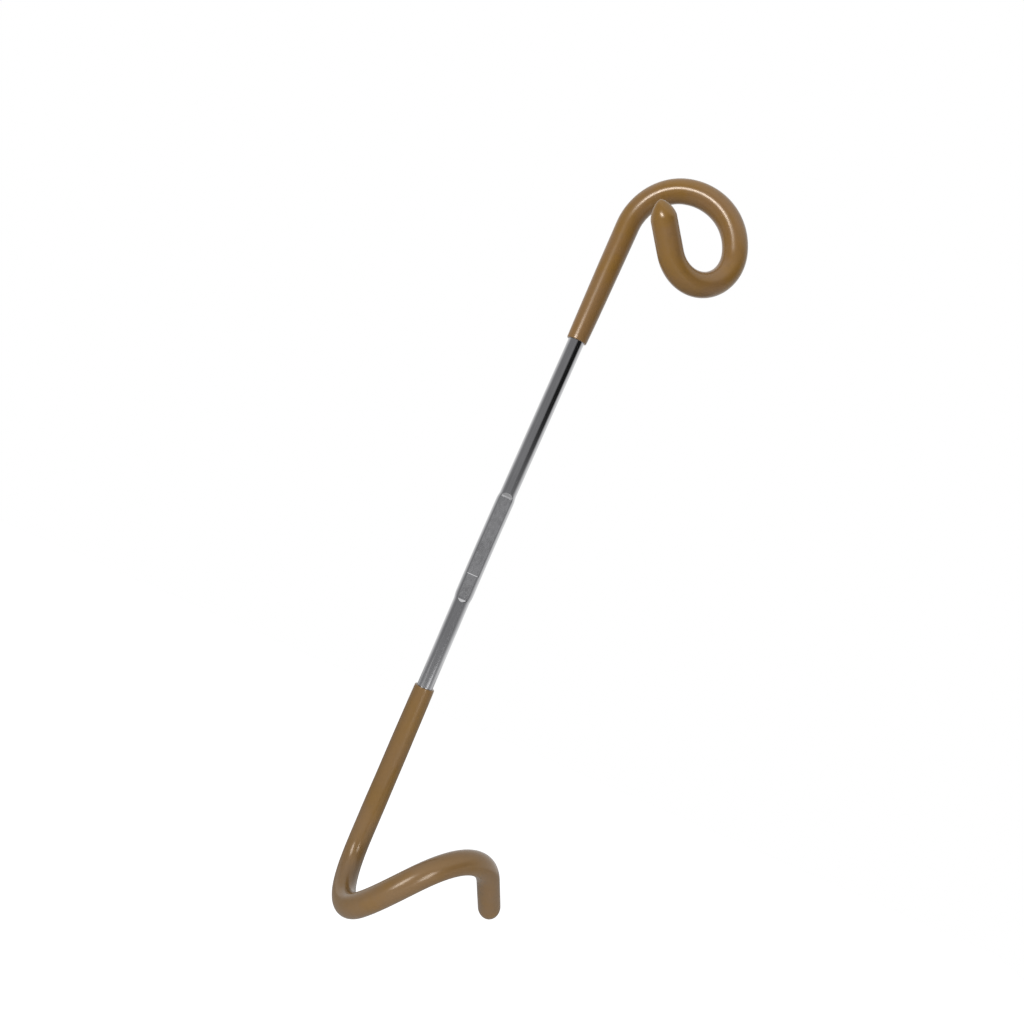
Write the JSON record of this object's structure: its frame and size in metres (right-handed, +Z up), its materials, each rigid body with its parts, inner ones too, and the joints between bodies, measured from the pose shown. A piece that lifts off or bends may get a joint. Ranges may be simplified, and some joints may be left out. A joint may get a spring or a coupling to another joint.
{
  "type": "pigtail lantern hook",
  "caption": "Bent round steel bar with a curled pigtail eye at one end, an open curled hook at the other, a pressed flat mid-shank and dip-moulded plastic on both ends.",
  "frame": {"origin": "the hang point: the inside of the eye's crown, where the hook bears on whatever it hangs from", "axes": "+Z up the shank towards the eye; -Y is the way the pressed flat faces and the way both curls come forward; +X is the side that both curls lie on"},
  "size_m": [0.0642, 0.0429, 0.2966],
  "materials": {
    "steel": "bright plated round bar, with fine drawn lines",
    "coating": "brown dip-moulded soft vinyl, semi-gloss and slightly uneven"
  },
  "bodies": {
    "root": {"steel_bar": "steel", "eye_coating": "coating", "hook_coating": "coating"}
  },
  "joints": []
}
